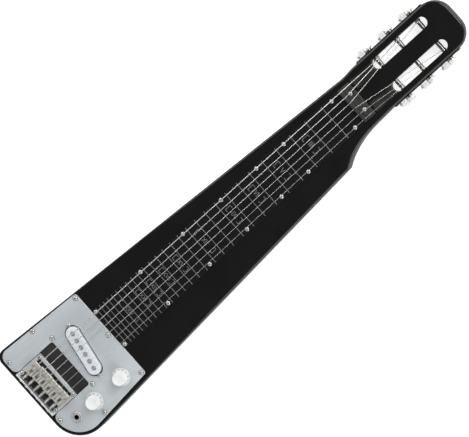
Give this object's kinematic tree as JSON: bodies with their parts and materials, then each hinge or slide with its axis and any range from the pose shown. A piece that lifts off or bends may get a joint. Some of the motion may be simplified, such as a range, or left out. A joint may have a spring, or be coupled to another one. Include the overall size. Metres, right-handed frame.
{
  "type": "lap steel guitar",
  "caption": "Solid-body lap steel guitar: tapered body, slotted headstock, flat board with fret lines, slanted pickup, control knobs, plug socket and a bridge with sliding saddles.",
  "frame": {"origin": "on the flat back face, under the middle of the line on which the saddles carry the strings", "axes": "+X along the neck to the headstock, +Y to the bass side, +Z out of the playing face"},
  "size_m": [0.7484, 0.1611, 0.0555],
  "materials": {
    "body": "gloss black lacquer",
    "fretboard": "satin black",
    "nut": "satin dark grey",
    "control_plate": "satin silver",
    "white_plastic": "satin white",
    "coil": "wound copper wire",
    "steel": "nickel plated",
    "dark_steel": "dark polished",
    "chrome": "bright",
    "string": "bright wire",
    "pearl": "white pearl"
  },
  "bodies": {
    "base": {"body": "body", "fretboard": "fretboard", "nut": "nut", "control_plate": "control_plate", "pickup_cover": "white_plastic", "pickup_coil": "coil", "volume_pot": "steel", "tone_pot": "steel", "jack_socket": "chrome", "jack_nut": "chrome", "bridge_plate": "chrome", "tuner_plate_bass": "dark_steel", "tuner_plate_treble": "dark_steel", "string_1": "string", "string_2": "string", "string_3": "string", "string_4": "string", "string_5": "string", "string_6": "string", "intonation_spring_1": "steel", "intonation_spring_2": "steel", "intonation_spring_3": "steel", "intonation_spring_4": "steel", "intonation_spring_5": "steel", "intonation_spring_6": "steel"},
    "volume_control": {"volume_knob": "white_plastic", "volume_shaft": "steel"},
    "tone_control": {"tone_knob": "white_plastic", "tone_shaft": "steel"},
    "intonation_screw_1": {"intonation_screw_1": "chrome"},
    "saddle_1": {"saddle_1": "chrome"},
    "tuner_button_1": {"worm_shaft_1": "dark_steel", "tuner_button_1": "pearl"},
    "string_roller_1": {"string_roller_1": "steel"},
    "intonation_screw_2": {"intonation_screw_2": "chrome"},
    "saddle_2": {"saddle_2": "chrome"},
    "tuner_button_2": {"worm_shaft_2": "dark_steel", "tuner_button_2": "pearl"},
    "string_roller_2": {"string_roller_2": "steel"},
    "intonation_screw_3": {"intonation_screw_3": "chrome"},
    "saddle_3": {"saddle_3": "chrome"},
    "tuner_button_3": {"worm_shaft_3": "dark_steel", "tuner_button_3": "pearl"},
    "string_roller_3": {"string_roller_3": "steel"},
    "intonation_screw_4": {"intonation_screw_4": "chrome"},
    "saddle_4": {"saddle_4": "chrome"},
    "tuner_button_4": {"worm_shaft_4": "dark_steel", "tuner_button_4": "pearl"},
    "string_roller_4": {"string_roller_4": "steel"},
    "intonation_screw_5": {"intonation_screw_5": "chrome"},
    "saddle_5": {"saddle_5": "chrome"},
    "tuner_button_5": {"worm_shaft_5": "dark_steel", "tuner_button_5": "pearl"},
    "string_roller_5": {"string_roller_5": "steel"},
    "intonation_screw_6": {"intonation_screw_6": "chrome"},
    "saddle_6": {"saddle_6": "chrome"},
    "tuner_button_6": {"worm_shaft_6": "dark_steel", "tuner_button_6": "pearl"},
    "string_roller_6": {"string_roller_6": "steel"}
  },
  "joints": [
    {"name": "volume_turn", "type": "hinge", "parent": "base", "child": "volume_control", "pos_m": [0.0205, -0.058, 0.0403], "axis": [0, 0, 1], "range_deg": [-150, 150]},
    {"name": "tone_turn", "type": "hinge", "parent": "base", "child": "tone_control", "pos_m": [0.0694, -0.058, 0.0403], "axis": [0, 0, 1], "range_deg": [-150, 150]},
    {"name": "intonation_turn_1", "type": "hinge", "parent": "base", "child": "intonation_screw_1", "pos_m": [-0.0333, 0.02625, 0.045], "axis": [1, 0, 0], "range_deg": [-1029, 1029]},
    {"name": "saddle_slide_1", "type": "slide", "parent": "base", "child": "saddle_1", "axis": [1, 0, 0], "range_m": [-0.002, 0.002], "deforming": ["intonation_spring_1"]},
    {"name": "tuner_turn_1", "type": "hinge", "parent": "base", "child": "tuner_button_1", "pos_m": [0.5856, 0.0413, 0.027], "axis": [0, 0, 1], "continuous": true},
    {"name": "roller_turn_1", "type": "hinge", "parent": "base", "child": "string_roller_1", "pos_m": [0.5951, 0.0361, 0.027], "axis": [0, 1, 0], "continuous": true},
    {"name": "intonation_turn_2", "type": "hinge", "parent": "base", "child": "intonation_screw_2", "pos_m": [-0.0333, 0.01575, 0.045], "axis": [1, 0, 0], "range_deg": [-1029, 1029]},
    {"name": "saddle_slide_2", "type": "slide", "parent": "base", "child": "saddle_2", "axis": [1, 0, 0], "range_m": [-0.002, 0.002], "deforming": ["intonation_spring_2"]},
    {"name": "tuner_turn_2", "type": "hinge", "parent": "base", "child": "tuner_button_2", "pos_m": [0.6206, 0.0413, 0.027], "axis": [0, 0, 1], "continuous": true},
    {"name": "roller_turn_2", "type": "hinge", "parent": "base", "child": "string_roller_2", "pos_m": [0.6301, 0.0361, 0.027], "axis": [0, 1, 0], "continuous": true},
    {"name": "intonation_turn_3", "type": "hinge", "parent": "base", "child": "intonation_screw_3", "pos_m": [-0.0333, 0.00525, 0.045], "axis": [1, 0, 0], "range_deg": [-1029, 1029]},
    {"name": "saddle_slide_3", "type": "slide", "parent": "base", "child": "saddle_3", "axis": [1, 0, 0], "range_m": [-0.002, 0.002], "deforming": ["intonation_spring_3"]},
    {"name": "tuner_turn_3", "type": "hinge", "parent": "base", "child": "tuner_button_3", "pos_m": [0.6556, 0.0413, 0.027], "axis": [0, 0, 1], "continuous": true},
    {"name": "roller_turn_3", "type": "hinge", "parent": "base", "child": "string_roller_3", "pos_m": [0.6651, 0.0361, 0.027], "axis": [0, 1, 0], "continuous": true},
    {"name": "intonation_turn_4", "type": "hinge", "parent": "base", "child": "intonation_screw_4", "pos_m": [-0.0333, -0.00525, 0.045], "axis": [1, 0, 0], "range_deg": [-1029, 1029]},
    {"name": "saddle_slide_4", "type": "slide", "parent": "base", "child": "saddle_4", "axis": [1, 0, 0], "range_m": [-0.002, 0.002], "deforming": ["intonation_spring_4"]},
    {"name": "tuner_turn_4", "type": "hinge", "parent": "base", "child": "tuner_button_4", "pos_m": [0.6556, -0.0413, 0.027], "axis": [0, 0, 1], "continuous": true},
    {"name": "roller_turn_4", "type": "hinge", "parent": "base", "child": "string_roller_4", "pos_m": [0.6651, -0.0361, 0.027], "axis": [0, 1, 0], "continuous": true},
    {"name": "intonation_turn_5", "type": "hinge", "parent": "base", "child": "intonation_screw_5", "pos_m": [-0.0333, -0.01575, 0.045], "axis": [1, 0, 0], "range_deg": [-1029, 1029]},
    {"name": "saddle_slide_5", "type": "slide", "parent": "base", "child": "saddle_5", "axis": [1, 0, 0], "range_m": [-0.002, 0.002], "deforming": ["intonation_spring_5"]},
    {"name": "tuner_turn_5", "type": "hinge", "parent": "base", "child": "tuner_button_5", "pos_m": [0.6206, -0.0413, 0.027], "axis": [0, 0, 1], "continuous": true},
    {"name": "roller_turn_5", "type": "hinge", "parent": "base", "child": "string_roller_5", "pos_m": [0.6301, -0.0361, 0.027], "axis": [0, 1, 0], "continuous": true},
    {"name": "intonation_turn_6", "type": "hinge", "parent": "base", "child": "intonation_screw_6", "pos_m": [-0.0333, -0.02625, 0.045], "axis": [1, 0, 0], "range_deg": [-1029, 1029]},
    {"name": "saddle_slide_6", "type": "slide", "parent": "base", "child": "saddle_6", "axis": [1, 0, 0], "range_m": [-0.002, 0.002], "deforming": ["intonation_spring_6"]},
    {"name": "tuner_turn_6", "type": "hinge", "parent": "base", "child": "tuner_button_6", "pos_m": [0.5856, -0.0413, 0.027], "axis": [0, 0, 1], "continuous": true},
    {"name": "roller_turn_6", "type": "hinge", "parent": "base", "child": "string_roller_6", "pos_m": [0.5951, -0.0361, 0.027], "axis": [0, 1, 0], "continuous": true}
  ],
  "couplings": [
    {"joint": "intonation_turn_1", "follows": "saddle_slide_1", "rad_per_m": -8976},
    {"joint": "roller_turn_1", "follows": "tuner_turn_1", "ratio": -0.071429},
    {"joint": "intonation_turn_2", "follows": "saddle_slide_2", "rad_per_m": -8976},
    {"joint": "roller_turn_2", "follows": "tuner_turn_2", "ratio": -0.071429},
    {"joint": "intonation_turn_3", "follows": "saddle_slide_3", "rad_per_m": -8976},
    {"joint": "roller_turn_3", "follows": "tuner_turn_3", "ratio": -0.071429},
    {"joint": "intonation_turn_4", "follows": "saddle_slide_4", "rad_per_m": -8976},
    {"joint": "roller_turn_4", "follows": "tuner_turn_4", "ratio": -0.071429},
    {"joint": "intonation_turn_5", "follows": "saddle_slide_5", "rad_per_m": -8976},
    {"joint": "roller_turn_5", "follows": "tuner_turn_5", "ratio": -0.071429},
    {"joint": "intonation_turn_6", "follows": "saddle_slide_6", "rad_per_m": -8976},
    {"joint": "roller_turn_6", "follows": "tuner_turn_6", "ratio": -0.071429}
  ]
}
